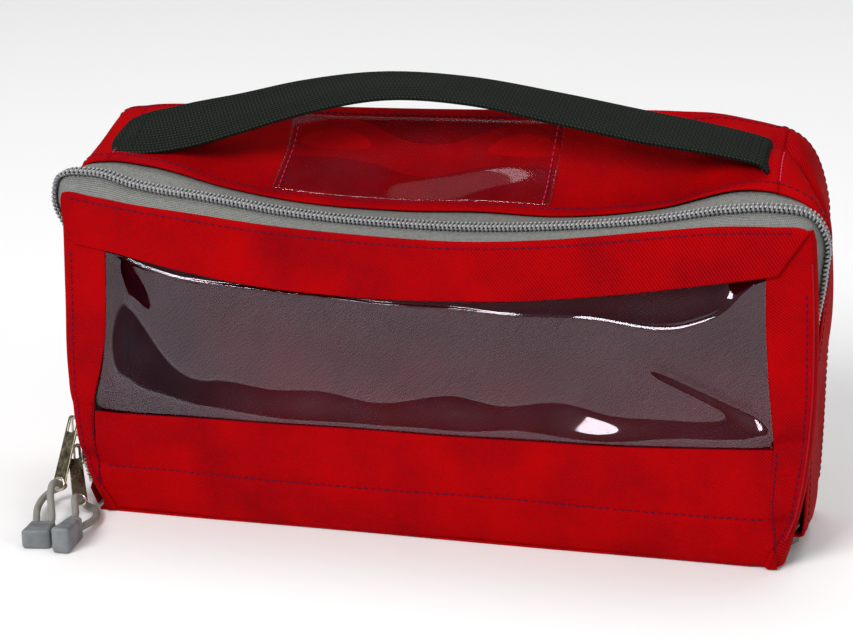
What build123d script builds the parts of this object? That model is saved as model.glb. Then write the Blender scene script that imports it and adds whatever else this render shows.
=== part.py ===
from build123d import *

import os
from math import cos, sin, tan, radians

# Soft first aid pouch with a clear window in a zipped front flap. Millimetres; +X right, +Y back,
# +Z up; the origin is the centre of the base, on the surface it stands on.

# The pouch
FRONT, BACK = -33.0, 33.0  # faces of the front and back panels
HALF_WIDTH = 150.0
HALF_BASE = 144.0  # the sides draw in towards the base
TAPER_HEIGHT = 14.0
SAG_HALF = 40.0  # the top edge is straight between here and the corners
CORNER_RADIUS = 16.0
CLOTH = 1.5  # front, back and bottom, with their seam allowances
GUSSET = 1.2
# Depth, height of the top edge at the corners and at mid-width: the top sags behind the zip
TOP_EDGE = [(FRONT, 140.0, 127.0), (-21.0, 143.5, 129.0), (-8.0, 147.5, 131.0), (BACK, 159.0, 161.0)]
SIDE_SEAM = 134.0  # where the side gussets meet the top panel

# The flap, which folds forward along the hem seam
FOLD_HEIGHT = 21.0
FOLD_GAP = 0.3
WINDOW_HALF, WINDOW_BOTTOM = 137.0, 46.0
WINDOW_CORNER_TOP, WINDOW_MIDDLE_TOP = 118.0, 103.0
WINDOW_LAP = 6.0
FILM = 0.5
HEM_RADIUS = 8.0

# The zip: a chain of two coils on two tapes, with a slit between them
CHAIN_Y = -21.0
SLIT = 1.0
COIL_WIDTH = 3.0
COIL_OUT, COIL_IN = -0.4, 2.0  # insets from the outline
TAPE_OUT, TAPE_IN = 0.4, 1.6
TAPE_REAR_EDGE = -8.0
CHAIN_BOTTOM, STOP_HEIGHT = 12.0, 3.0

# The sliders and their pulls, on the left side
SLIDER_UPPER_Z, SLIDER_LOWER_Z = 32.5, 20.0
SLIDER_HALF, SLIDER_TAIL_HALF = 5.0, 2.0
SLIDER_LENGTH = 10.0
PLATE = 0.8
PLATE_GAP = 0.3
POST = 0.7
WIRE, WIRE_DEPTH = 1.2, 1.0
HANGER_HALF, HANGER_X = 4.6, -156.5
TAB_WIDTH, TAB_END_WIDTH, TAB_THICKNESS = 5.6, 6.2, 1.0
TAB_SLOT_HALF, TAB_SLOT_WIDTH, TAB_TOP = 2.8, 3.2, 4.3
EYE_RADIUS, EYE_RIM, EYE_RIM_HEIGHT = 2.1, 0.9, 0.5
EYE_UPPER, EYE_LOWER = (-159.2, -32.5, 10.4), (-147.8, -38.0, 6.0)
CORD = 3.0

# The webbing handle, sewn across the two ends of the top
HANDLE_WIDTH, WEBBING = 25.0, 1.8
HANDLE_Y, HANDLE_Z = 8.0, 152.0
HANDLE_LEAN = 15.7
HANDLE_END = 127.2
HANDLE_NECK_HALF, HANDLE_FULL = 3.0, 108.0
PAD_IN, PAD_OUT = 127.5, 141.0
HANDLE_ARCH = [
    (-HANDLE_END, 0.0), (-110, 5.5), (-86, 13.5), (-58, 21), (-26, 26.5),
    (10, 26), (46, 21), (82, 14), (108, 7.5), (HANDLE_END, 0.3),
]

# The clear label pocket on the top
POCKET_LEFT, POCKET_RIGHT = -70.0, 45.0
POCKET_FRONT, POCKET_BACK = -4.0, 27.0


def slab(x, y, z):
    """A block between the given pairs of coordinates."""
    low, high = zip(x, y, z)
    size = [b - a for a, b in zip(low, high)]
    return Pos(*[(a + b) / 2 for a, b in zip(low, high)]) * Box(*size)


def prism(points, y):
    """An (x, z) polygon carried through the depths in y."""
    wire = Polyline(*[(px, y[0], pz) for px, pz in points], close=True)
    return extrude(Face(Wire(wire.edges())), y[1] - y[0], (0, 1, 0))


def top_edge(y):
    """Heights of the top edge at the corners and at mid-width, at this depth."""
    for (y0, c0, m0), (y1, c1, m1) in zip(TOP_EDGE, TOP_EDGE[1:]):
        if y <= y1:
            part = (y - y0) / (y1 - y0)
            return c0 + part * (c1 - c0), m0 + part * (m1 - m0)
    return TOP_EDGE[-1][1:]


def outline(y, inset):
    """The pouch's upright section at depth y, drawn in by inset."""
    corner, middle = top_edge(y)
    left = [
        (-HALF_BASE + inset, y, inset),
        (-HALF_WIDTH + inset, y, TAPER_HEIGHT),
        (-HALF_WIDTH + inset, y, corner - inset),
        (-SAG_HALF, y, middle - inset),
    ]
    right = [(-px, y, pz) for px, _, pz in reversed(left)]
    bend = [4.0, CORNER_RADIUS - inset, 60.0]
    rim = FilletPolyline(*left, *right, radius=bend + bend[::-1])
    return Face(Wire([*rim.edges(), Line(rim @ 1, rim @ 0)]))


def block(y, inset):
    """The pouch's solid shape between two depths."""
    return loft([outline(y[0], inset), outline(y[1], inset)], ruled=True)


def wall(y, outer, inner, floor=GUSSET):
    """A band that follows the outline over the top and down both sides, between two insets."""
    ring = block(y, outer) - block(y, inner)
    return ring & slab((-200, 200), (y[0] - 1, y[1] + 1), (floor, 250))


def plan(z, inset, end):
    """The foot's level section at height z: rounded front corners, open towards the back."""
    half = HALF_BASE + (HALF_WIDTH - HALF_BASE) * min(z / TAPER_HEIGHT, 1) - inset
    front = FRONT + inset
    points = [(-half, end, z), (-half, front, z), (half, front, z), (half, end, z)]
    rim = FilletPolyline(*points, radius=HEM_RADIUS - inset)
    return Face(Wire([*rim.edges(), Line(rim @ 1, rim @ 0)]))


def foot(z, inset, end):
    return loft([plan(z[0], inset, end), plan(z[1], inset, end)], ruled=True)


def case_cloth():
    """The red panels that stand still, and the hem below the fold."""
    gusset = wall((TAPE_REAR_EDGE, BACK - CLOTH), 0, GUSSET)
    outside, far = 200.0, (-200, 200)
    parts = {
        "back_panel": block((BACK - CLOTH, BACK), 0),
        "bottom_panel": foot((0, GUSSET), 0, BACK - CLOTH),
        "left_side_panel": gusset & slab((-outside, -SIDE_SEAM), far, far),
        "right_side_panel": gusset & slab((SIDE_SEAM, outside), far, far),
        "top_panel": gusset & slab((-SIDE_SEAM, SIDE_SEAM), far, (50, 250)),
    }
    tape_edge = CHAIN_Y - SLIT / 2 - COIL_WIDTH
    hem = []
    for z in ((GUSSET, TAPER_HEIGHT), (TAPER_HEIGHT, FOLD_HEIGHT - FOLD_GAP / 2)):
        hem.append(foot(z, 0, tape_edge) - foot(z, CLOTH, tape_edge))
    parts["front_hem"] = hem[0] + hem[1]
    return parts


def zip_chain():
    """Rear tape and coil on the case, front tape and coil on the flap, and the closed ends."""
    rear, front = CHAIN_Y + SLIT / 2, CHAIN_Y - SLIT / 2
    above_fold = FOLD_HEIGHT + FOLD_GAP / 2
    depths = {"rear": (rear, rear + COIL_WIDTH), "front": (front - COIL_WIDTH, front)}
    below = slab((-200, 200), (-60, 60), (0, FOLD_HEIGHT - FOLD_GAP / 2))
    tape_foot = slab((-200, 200), (-60, 60), (0, CHAIN_BOTTOM - STOP_HEIGHT))
    stops = []
    for side in (-1, 1):
        x = sorted((side * (HALF_WIDTH + 0.4), side * (HALF_WIDTH - 1.9)))
        stops.append(slab(x, (front - COIL_WIDTH + 0.1, rear + COIL_WIDTH - 0.1),
                          (CHAIN_BOTTOM - STOP_HEIGHT, CHAIN_BOTTOM)))
    return {
        "zip_tape_rear": wall((rear + COIL_WIDTH, TAPE_REAR_EDGE), TAPE_OUT, TAPE_IN)
        + (wall(depths["rear"], TAPE_OUT, TAPE_IN) & tape_foot),
        "zip_coil_rear": wall(depths["rear"], COIL_OUT, COIL_IN, CHAIN_BOTTOM),
        "zip_coil_closed_ends": wall(depths["front"], COIL_OUT, COIL_IN, CHAIN_BOTTOM) & below,
        "zip_end_stops": Compound(children=stops),
        "zip_tape_front": wall((FRONT + CLOTH, front - COIL_WIDTH), TAPE_OUT, TAPE_IN, above_fold),
        "zip_coil_front": wall(depths["front"], COIL_OUT, COIL_IN, above_fold),
    }


def window_outline(margin):
    """The window opening, grown by margin on every side."""
    half, low = WINDOW_HALF + margin, WINDOW_BOTTOM - margin
    corner, middle = WINDOW_CORNER_TOP + margin, WINDOW_MIDDLE_TOP + margin
    return [(-half, low), (half, low), (half, corner), (SAG_HALF, middle), (-SAG_HALF, middle),
            (-half, corner)]


def flap_cloth():
    """The four red bands round the window, and the clear film sewn behind them."""
    depth = (FRONT, FRONT + CLOTH)
    cut = (FRONT - 1, FRONT + CLOTH + 1)
    front = block(depth, 0) & slab((-200, 200), cut, (FOLD_HEIGHT + FOLD_GAP / 2, 250))
    over = prism([(-200, WINDOW_CORNER_TOP), *window_outline(0)[:1:-1], (200, WINDOW_CORNER_TOP),
                  (200, 250), (-200, 250)], cut)
    under = slab((-200, 200), cut, (0, WINDOW_BOTTOM))
    sides = front - over - under
    return {
        "front_top_band": front & over,
        "front_bottom_band": front & under,
        "front_left_band": sides & slab((-200, -WINDOW_HALF), cut, (0, 250)),
        "front_right_band": sides & slab((WINDOW_HALF, 200), cut, (0, 250)),
        "front_window": prism(window_outline(WINDOW_LAP), (FRONT + CLOTH, FRONT + CLOTH + FILM)),
    }


def label_pocket():
    """A clear film pocket that lies on the top panel."""
    film = wall((POCKET_FRONT, POCKET_BACK), -0.9, -0.5)
    return film & slab((POCKET_LEFT, POCKET_RIGHT), (-60, 60), (100, 250))


def slider(z):
    """Two plates round the chain, the post between its coils, and the hanger for the pull tab."""
    half = SLIDER_LENGTH / 2
    shield = [(-SLIDER_TAIL_HALF, -half), (SLIDER_TAIL_HALF, -half), (SLIDER_HALF, 0),
              (SLIDER_HALF, half), (-SLIDER_HALF, half), (-SLIDER_HALF, 0)]
    outer = -HALF_WIDTH + COIL_OUT - PLATE_GAP
    inner = -HALF_WIDTH + COIL_IN + PLATE_GAP
    body = []
    for x in (outer - PLATE, inner):
        ring = Polyline(*[(x, CHAIN_Y + py, z + pz) for py, pz in shield], close=True)
        body.append(extrude(Face(Wire(ring.edges())), PLATE, (1, 0, 0)))
    body.append(slab((outer - PLATE, inner + PLATE), (CHAIN_Y - POST / 2, CHAIN_Y + POST / 2),
                     (z - 2, z + 2)))
    wire_x = (HANGER_X - WIRE / 2, HANGER_X + WIRE / 2)
    depth = (CHAIN_Y - WIRE_DEPTH / 2, CHAIN_Y + WIRE_DEPTH / 2)
    body.append(slab(wire_x, depth, (z - HANGER_HALF, z + HANGER_HALF)))
    for side in (-1, 1):
        ends = sorted((z + side * HANGER_HALF, z + side * (HANGER_HALF - WIRE)))
        body.append(slab((wire_x[0], outer), depth, ends))
    return body[0] + body[1:]


def tab_plane(z, eye):
    """The tab's own frame: origin at the hanger, x across its width, y back towards its top."""
    along = Vector(*eye) - Vector(HANGER_X, CHAIN_Y, z)
    across = Vector(along.Y, -along.X, 0).normalized() * -1
    return Plane((HANGER_X, CHAIN_Y, z), x_dir=across, z_dir=across.cross(along * -1))


def pull_tab(z, eye):
    """A pressed metal tab: a slot round the hanger, a blade and a rimmed eye for the cord."""
    reach = (Vector(*eye) - Vector(HANGER_X, CHAIN_Y, z)).length
    end_half = TAB_END_WIDTH / 2
    corners = [(-TAB_WIDTH / 2, TAB_TOP), (TAB_WIDTH / 2, TAB_TOP), (end_half, -reach),
               (-end_half, -reach)]
    blade = make_face(Polyline(*corners, close=True)) + Pos(0, -reach) * Circle(end_half)
    blade -= Rectangle(TAB_SLOT_WIDTH, 2 * TAB_SLOT_HALF)
    blade -= Pos(0, -reach) * Circle(EYE_RADIUS)
    rim = Pos(0, -reach) * (Circle(EYE_RADIUS + EYE_RIM) - Circle(EYE_RADIUS))
    half = TAB_THICKNESS / 2
    tab = extrude(blade, half, both=True) + Pos(0, 0, half) * extrude(rim, EYE_RIM_HEIGHT)
    return tab_plane(z, eye).location * tab


def smooth_route(points):
    """Straight runs joined by the largest arcs that they allow, and the arcs' radii."""
    runs = [Vector(*b) - Vector(*a) for a, b in zip(points, points[1:])]
    radii = [
        0.45 * min(a.length, b.length) / tan(radians(a.get_angle(b)) / 2)
        for a, b in zip(runs, runs[1:])
    ]
    return FilletPolyline(*points, radius=radii), radii


def cord(name, points):
    """A round cord, with its radii and its volume against its section times its length."""
    route, radii = smooth_route(points)
    tube = sweep(Plane(route @ 0, z_dir=route % 0) * Circle(CORD / 2), path=route)
    section = Circle(CORD / 2).area
    print(name, "radii", [round(r, 1) for r in radii], "length", round(route.length, 1),
          "volume ratio", round(tube.volume / (section * route.length), 4))
    return tube


def grip(rear, heading, rear_size, front_size, length):
    """A moulded grip that lies on the ground, wider at its front. Sizes are width by height."""
    faces = []
    for reach, (width, height) in ((0, rear_size), (length, front_size)):
        turn = radians(heading)
        middle = (rear[0] + reach * sin(turn), rear[1] - reach * cos(turn), height / 2)
        across = (cos(turn), sin(turn), 0)
        face = Plane(middle, x_dir=across, z_dir=(sin(turn), -cos(turn), 0))
        faces.append(face * Rectangle(width, height))
    return loft(faces, ruled=True)


def cords_and_grips():
    """Each cord loops through its tab's eye, and both its ends go into its grip."""
    upper = [
        (-151.0, -63.6, 3.6), (-152.2, -57.0, 4.4), (-155.4, -50.5, 7.8), (-158.4, -43.8, 12.0),
        (-159.6, -37.6, 13.3), (-159.2, -32.5, 10.4), (-158.8, -26.8, 7.3), (-164.8, -28.2, 5.2),
        (-166.0, -36.0, 4.4), (-164.0, -46.0, 4.0), (-160.2, -55.0, 3.8), (-156.3, -64.6, 3.6),
    ]
    lower = [
        (-141.0, -63.5, 7.4), (-141.4, -57.5, 7.8), (-143.9, -52.2, 9.0), (-146.3, -47.2, 10.3),
        (-147.4, -42.2, 9.8), (-147.8, -38.0, 6.0), (-147.2, -34.2, 2.5), (-141.8, -35.9, 1.7),
        (-139.2, -41.4, 1.8), (-137.6, -48.5, 2.4), (-138.0, -56.0, 3.6), (-138.9, -63.5, 4.1),
    ]
    return {
        "pull_cord_upper": cord("pull_cord_upper", upper),
        "pull_cord_lower": cord("pull_cord_lower", lower),
        "pull_grip_upper": grip((-154.0, -62.15), 11.0, (10.4, 6.6), (12.0, 8.2), 15.0),
        "pull_grip_lower": grip((-139.8, -61.5), 0.0, (6.0, 9.6), (7.8, 11.0), 17.5),
    }


def handle():
    """The arched webbing strap, free to tilt, and its two sewn ends."""
    path, _ = smooth_route([(px, 0, pz) for px, pz in HANDLE_ARCH])
    strap = sweep(Plane(path @ 0, x_dir=(0, 1, 0), z_dir=path % 0)
                  * Rectangle(HANDLE_WIDTH, WEBBING), path=path)
    wide, neck, end = HANDLE_WIDTH / 2 + 1, HANDLE_NECK_HALF, HANDLE_END + 1
    shape = make_face(Polyline((-end, -neck), (-HANDLE_FULL, -wide), (HANDLE_FULL, -wide),
                               (end, -neck), (end, neck), (HANDLE_FULL, wide),
                               (-HANDLE_FULL, wide), (-end, neck), close=True))
    strap &= Pos(0, 0, -10) * extrude(shape, 60)
    ends = wall((HANDLE_Y - HANDLE_WIDTH / 2, HANDLE_Y + HANDLE_WIDTH / 2), -WEBBING, -0.1)
    height = (100, 250)
    return {
        "handle_strap": Pos(0, HANDLE_Y, HANDLE_Z) * Rot(HANDLE_LEAN, 0, 0) * strap,
        "handle_end_left": ends & slab((-PAD_OUT, -PAD_IN), (-60, 60), height),
        "handle_end_right": ends & slab((PAD_IN, PAD_OUT), (-60, 60), height),
    }


parts = {**case_cloth(), **zip_chain(), **flap_cloth(), "label_pocket": label_pocket()}
for level, slider_z, eye in (("upper", SLIDER_UPPER_Z, EYE_UPPER),
                             ("lower", SLIDER_LOWER_Z, EYE_LOWER)):
    parts[f"slider_{level}"] = slider(slider_z)
    parts[f"pull_tab_{level}"] = pull_tab(slider_z, eye)
parts.update(cords_and_grips())
parts.update(handle())

os.makedirs("parts", exist_ok=True)
for node, shape in parts.items():
    export_step(shape, f"parts/{node}.step")
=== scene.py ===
"""Red first aid pouch with a clear front window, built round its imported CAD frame.

Shapes are worked out in millimetres, in the frame's axes, and written to the meshes in metres.
"""

import math

import bmesh
import bpy
import numpy as np
from mathutils import Matrix, Vector


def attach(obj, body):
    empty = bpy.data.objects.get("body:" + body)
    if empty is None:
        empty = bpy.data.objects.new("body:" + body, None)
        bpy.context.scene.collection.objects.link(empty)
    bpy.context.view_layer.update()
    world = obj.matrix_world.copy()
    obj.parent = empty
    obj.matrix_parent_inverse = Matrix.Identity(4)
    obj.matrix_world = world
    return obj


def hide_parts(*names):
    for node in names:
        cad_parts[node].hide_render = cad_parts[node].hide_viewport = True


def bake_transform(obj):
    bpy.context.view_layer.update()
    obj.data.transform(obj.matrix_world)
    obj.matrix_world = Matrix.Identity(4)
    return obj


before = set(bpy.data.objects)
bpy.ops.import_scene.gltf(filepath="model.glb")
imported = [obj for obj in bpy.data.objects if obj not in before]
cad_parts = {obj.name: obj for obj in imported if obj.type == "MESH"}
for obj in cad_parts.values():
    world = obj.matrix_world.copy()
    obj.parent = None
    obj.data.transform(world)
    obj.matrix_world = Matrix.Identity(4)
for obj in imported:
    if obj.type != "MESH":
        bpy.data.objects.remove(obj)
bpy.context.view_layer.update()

MM = 0.001

# Outlines of the pouch at four depths, as (x, z) points from the left foot over the top to the
# right foot. Points with the same place in the lists lie on the same line of the shell.
RAILS = {
    "front": [
        (-141.5, 1.0), (-145.5, 14), (-149.2, 30), (-152.4, 60), (-151.2, 95), (-150.0, 122),
        (-149.8, 133), (-148.2, 138.0), (-135, 136.9), (-120, 134.7), (-90, 131.8), (-56, 128.5),
        (-15, 127.0), (18, 127.0), (50, 129.7), (90, 135.0), (120, 138.7), (135, 139.4),
        (148.6, 138.8), (151.2, 134), (152.6, 122), (154.0, 95), (153.8, 60), (150.6, 30),
        (147.3, 14), (143.8, 1.0),
    ],
    "chain": [
        (-141.5, 1.0), (-149.1, 14), (-149.2, 30), (-149.2, 60), (-149.2, 95), (-149.3, 114),
        (-156.6, 132.5), (-154.6, 140.8), (-140, 143.4), (-122, 139.2), (-90, 135.3), (-56, 131.0),
        (-15, 129.0), (18, 129.2), (50, 131.3), (90, 136.3), (120, 142.0), (135, 143.2),
        (150.6, 140.2), (155.2, 132), (154.8, 118), (151.6, 95), (149.2, 60), (147.0, 30),
        (144.2, 14), (140.0, 1.0),
    ],
    "tape": [
        (-144.0, 1.0), (-148.8, 14), (-150.0, 30), (-150.0, 60), (-150.0, 95), (-150.2, 120),
        (-152.2, 134), (-149.0, 141.8), (-138, 145.2), (-120, 144.0), (-88, 136.6), (-56, 132.2),
        (-15, 131.0), (18, 132.2), (50, 132.0), (90, 137.4), (122, 146.4), (135, 146.0),
        (148.6, 139.5), (153.4, 131), (153.6, 118), (152.4, 95), (151.0, 60), (150.4, 30),
        (149.8, 14), (147.0, 1.0),
    ],
    "back": [
        (-144.0, 1.0), (-149.0, 14), (-150.6, 30), (-151.0, 60), (-151.0, 95), (-151.0, 122),
        (-150.6, 145), (-147.0, 154.6), (-135, 158.4), (-118, 159.8), (-90, 160.6), (-56, 161.2),
        (-15, 162.0), (18, 163.0), (50, 164.2), (90, 165.4), (114, 164.2), (134, 159.6),
        (145.0, 149), (148.8, 136), (150.0, 118), (150.6, 95), (150.8, 60), (150.4, 30),
        (149.4, 14), (147.0, 1.0),
    ],
}
FRONT_Y, CHAIN_Y, TAPE_Y, BACK_Y = -33.0, -21.0, -9.0, 33.0
WRAP_Y = -28.6  # how far back the front's side bands reach round the corners
LEFT_SEAM, RIGHT_SEAM = 8, 17  # places in the rails where the side gussets end
LAST = len(RAILS["back"]) - 1
FOLD_Z = 21.0  # the seam that the flap folds out on
COIL_PITCH = 1.74  # as the photograph's chain shows at this size
COIL_END, COIL_THREAD_END = 11.6, 13.0  # how far along the chain from each foot they stop

# The window opening's edges as (x, z) points, and the share of its height where the film creases
WINDOW_TOP = [(-150, 117.6), (-132, 114.6), (-100, 108.4), (-71, 104.0), (-30, 101.8), (3, 102.0),
              (40, 104.6), (71, 108.4), (105, 114.0), (134, 119.4), (152, 123.0)]
WINDOW_FOOT = [(-150, 44.0), (-52, 45.5), (31, 45.8), (90, 47.4), (150, 50.6)]
FILM_CREASE = [(-145, 0.99), (-126, 0.93), (-66, 0.95), (-1, 0.93), (64, 0.83), (106, 0.75),
               (119, 0.82), (127, 0.93), (145, 0.97)]
# The side bands' inner edges, as (z, x) points
LEFT_EDGE = [(0, -138.6), (10, -139.6), (25, -140.8), (46, -141.4), (58, -138.6), (75, -134.8),
             (95, -133.0), (115, -132.0), (140, -131.0)]
RIGHT_EDGE = [(0, 141.6), (8, 140.8), (25, 138.4), (50, 138.8), (75, 136.2), (100, 134.4),
              (120, 134.0), (140, 134.0)]

# The control points of the pull cords, from the CAD tubes' routes
UPPER_CORD = [
    (-151.0, -63.6, 3.6), (-152.2, -57.0, 4.4), (-155.4, -50.5, 7.8), (-158.4, -43.8, 12.0),
    (-159.6, -37.6, 13.3), (-159.2, -32.5, 10.4), (-158.8, -26.8, 7.3), (-164.8, -28.2, 5.2),
    (-166.0, -36.0, 4.4), (-164.0, -46.0, 4.0), (-160.2, -55.0, 3.8), (-156.3, -64.6, 3.6),
]
LOWER_CORD = [
    (-141.0, -63.5, 7.4), (-141.4, -57.5, 7.8), (-143.9, -52.2, 9.0), (-146.3, -47.2, 10.3),
    (-147.4, -42.2, 9.8), (-147.8, -38.0, 6.0), (-147.2, -34.2, 2.5), (-141.8, -35.9, 1.7),
    (-139.2, -41.4, 1.8), (-137.6, -48.5, 2.4), (-138.0, -56.0, 3.6), (-138.9, -63.5, 4.1),
]
CORD_DIAMETER = 3.0
HANGER_X = -156.5
# Each pull's slider height, the eye of its tab, its cord, and its grip: the rear's place, heading,
# size at the rear and at the front, and length
PULLS = {
    "upper": {"z": 32.5, "eye": (-159.2, -32.5, 10.4), "cord": UPPER_CORD, "length": 0.0842,
              "grip": ((-154.0, -62.15), 11.0, (10.4, 6.6), (12.0, 8.2), 15.0)},
    "lower": {"z": 20.0, "eye": (-147.8, -38.0, 6.0), "cord": LOWER_CORD, "length": 0.0663,
              "grip": ((-139.8, -61.5), 0.0, (6.0, 9.6), (7.8, 11.0), 17.5)},
}


# ---------------------------------------------------------------- curves


def through(knots, values, at):
    """A smooth curve through values at knots, read at the places in at."""
    knots, values, at = (np.asarray(a, float) for a in (knots, values, at))
    values = values.reshape(len(knots), -1)
    gaps = np.diff(knots)
    rise = np.diff(values, axis=0) / gaps[:, None]
    share = (gaps[1:] / (gaps[:-1] + gaps[1:]))[:, None]
    slope = np.vstack([rise[:1], share * rise[:-1] + (1 - share) * rise[1:], rise[-1:]])
    k = np.clip(np.searchsorted(knots, at, side="right") - 1, 0, len(gaps) - 1)
    gap = gaps[k][..., None]
    t = ((at - knots[k]) / gaps[k])[..., None]
    return (
        (2 * t**3 - 3 * t**2 + 1) * values[k]
        + (t**3 - 2 * t**2 + t) * gap * slope[k]
        + (3 * t**2 - 2 * t**3) * values[k + 1]
        + (t**3 - t**2) * gap * slope[k + 1]
    )


def height(points, at):
    """The second coordinate of a smooth curve at these values of the first."""
    first, second = zip(*points)
    at = np.clip(np.asarray(at, float), first[0], first[-1])
    return through(first, second, at)[..., 0]


def between(share, first, last):
    return first + share * (last - first)


def unit(vectors):
    return vectors / np.linalg.norm(vectors, axis=-1, keepdims=True)


def smooth_step(value, low, high):
    t = np.clip((np.asarray(value, float) - low) / (high - low), 0, 1)
    return t * t * (3 - 2 * t)


def hump(x, middle, width):
    return np.exp(-(((np.asarray(x, float) - middle) / width) ** 2))


def lengths(points):
    steps = np.linalg.norm(np.diff(points, axis=0), axis=1)
    return np.concatenate([[0], np.cumsum(steps)])


PLACES = lengths(np.array(RAILS["chain"], float))


def rail(name, place):
    return through(PLACES, RAILS[name], place)


def rail_outward(name, place):
    """The rail's unit normal in its (x, z) plane."""
    step = 0.05
    along = rail(name, place + step) - rail(name, place - step)
    return unit(np.stack([-along[:, 1], along[:, 0]], axis=1))


def places(first, last, spacing):
    start, end = PLACES[first], PLACES[last]
    return np.linspace(start, end, max(2, int(abs(end - start) / spacing) + 1))


def edge_table(first, last, by):
    """Points of a stretch of the front rail, sorted for reading one coordinate by the other."""
    points = rail("front", places(first, last, 0.5))
    points = points[np.argsort(points[:, by])]
    return points[:, by], points[:, 1 - by]


# The front's outline: z by x along its top, and x by z up its left (-1) and right (1)
FRONT_TOP = edge_table(7, 18, 0)
FRONT_SIDES = {-1: edge_table(0, 7, 1), 1: edge_table(18, LAST, 1)}


# ---------------------------------------------------------------- meshes


def new_object(name, data, material):
    obj = bpy.data.objects.new(name, data)
    bpy.context.scene.collection.objects.link(obj)
    data.materials.append(material)
    return obj


def mesh_object(name, points, faces, material, uvs=None):
    """A smooth mesh from points in millimetres. uvs gives one (u, v) to each point."""
    mesh = bpy.data.meshes.new(name)
    mesh.from_pydata((np.asarray(points, float) * MM).tolist(), [], faces)
    mesh.polygons.foreach_set("use_smooth", [True] * len(mesh.polygons))
    if uvs is not None:
        layer = mesh.uv_layers.new(name="UVMap")
        corners = np.empty(len(mesh.loops), np.int64)
        mesh.loops.foreach_get("vertex_index", corners)
        layer.data.foreach_set("uv", np.asarray(uvs, float)[corners].ravel())
    mesh.update()
    return new_object(name, mesh, material)


def face_outwards(obj):
    """Turns every face of a closed mesh to point out of it."""
    work = bmesh.new()
    work.from_mesh(obj.data)
    bmesh.ops.recalc_face_normals(work, faces=work.faces)
    work.to_mesh(obj.data)
    work.free()
    return obj


def grid_faces(rows, columns, wrap=False):
    count = columns if wrap else columns - 1
    return [
        (i * columns + j, (i + 1) * columns + j, (i + 1) * columns + (j + 1) % columns,
         i * columns + (j + 1) % columns)
        for i in range(rows - 1)
        for j in range(count)
    ]


def tube_faces(rings, sides, capped=True):
    """Faces round the rings of a tube, and over its two ends."""
    faces = [face[::-1] for face in grid_faces(rings, sides, wrap=True)]
    if capped:
        faces += [tuple(range(sides)), tuple(range((rings - 1) * sides, rings * sides))[::-1]]
    return faces


def grid_uvs(grid):
    """Distances along and across the grid, in millimetres, so that a weave keeps its scale."""
    along = np.linalg.norm(np.diff(grid, axis=0), axis=2).mean(axis=1)
    across = np.linalg.norm(np.diff(grid, axis=1), axis=2).mean(axis=0)
    u = np.concatenate([[0], np.cumsum(along)])
    v = np.concatenate([[0], np.cumsum(across)])
    return np.stack(np.meshgrid(u, v, indexing="ij"), axis=2).reshape(-1, 2)


def cloth(name, grid, material, thickness=1.0, rounding=0.35):
    """A sheet of cloth. The grid is its outer face, and the thickness goes inwards from it."""
    rows, columns, _ = grid.shape
    obj = mesh_object(name, grid.reshape(-1, 3), grid_faces(rows, columns), material,
                      grid_uvs(grid))
    solid = obj.modifiers.new("Thickness", "SOLIDIFY")
    solid.thickness, solid.offset = thickness * MM, -1
    if rounding:
        bevel = obj.modifiers.new("Edge", "BEVEL")
        bevel.width, bevel.segments = rounding * MM, 2
        bevel.limit_method, bevel.angle_limit = "ANGLE", math.radians(60)
    return obj


def path_frames(path):
    """Two unit normals at each point of the path, which don't twist along it."""
    tangents = unit(np.gradient(path, axis=0))
    side = np.cross(tangents[0], (0, 0, 1) if abs(tangents[0][2]) < 0.9 else (1, 0, 0))
    normals = []
    for tangent in tangents:
        side = unit(side - (side @ tangent) * tangent)
        normals.append(side)
    normals = np.array(normals)
    return normals, np.cross(tangents, normals)


def tube(name, path, radius, material, sides=8, capped=True):
    """A round tube along a path. radius is a number, or one for each point, or for each vertex."""
    first, second = path_frames(path)
    angles = np.linspace(0, 2 * math.pi, sides, endpoint=False)
    radius = np.asarray(radius, float)
    if radius.ndim == 1:
        radius = radius[:, None]
    points = (
        path[:, None]
        + (radius * np.cos(angles))[..., None] * first[:, None]
        + (radius * np.sin(angles))[..., None] * second[:, None]
    )
    uvs = np.stack(np.meshgrid(lengths(path), angles / (2 * math.pi), indexing="ij"), axis=2)
    return face_outwards(mesh_object(name, points.reshape(-1, 3),
                                     tube_faces(len(path), sides, capped), material,
                                     uvs.reshape(-1, 2)))


def read_along(values, along, at):
    """The rows of values, which are known at the distances along, read at other distances."""
    return np.stack([np.interp(at, along, column) for column in values.T], axis=1)


def resample(path, spacing, offset=0.0):
    """Points of the path at even distances, and the distances."""
    along = lengths(path)
    at = np.arange(offset, along[-1], spacing)
    return read_along(path, along, at), at


def beads(name, centres, tangents, normals, size, material):
    """One small rounded bead at each centre. size is its half length, half width, half height."""
    rings, sides = 5, 6
    angle = np.linspace(0, 2 * math.pi, sides, endpoint=False)
    template = []
    for polar in np.linspace(-1.35, 1.35, rings):
        for turn in angle:
            template.append((math.sin(polar), math.cos(polar) * math.cos(turn),
                             math.cos(polar) * math.sin(turn)))
    template = np.array(template) * size
    across = np.cross(normals, tangents)
    axes = np.stack([tangents, across, normals], axis=1)
    points = centres[:, None] + np.einsum("vk,nkj->nvj", template, axes)
    faces = [tuple(v + n * rings * sides for v in face) for n in range(len(centres))
             for face in tube_faces(rings, sides)]
    return face_outwards(mesh_object(name, points.reshape(-1, 3), faces, material))


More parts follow.
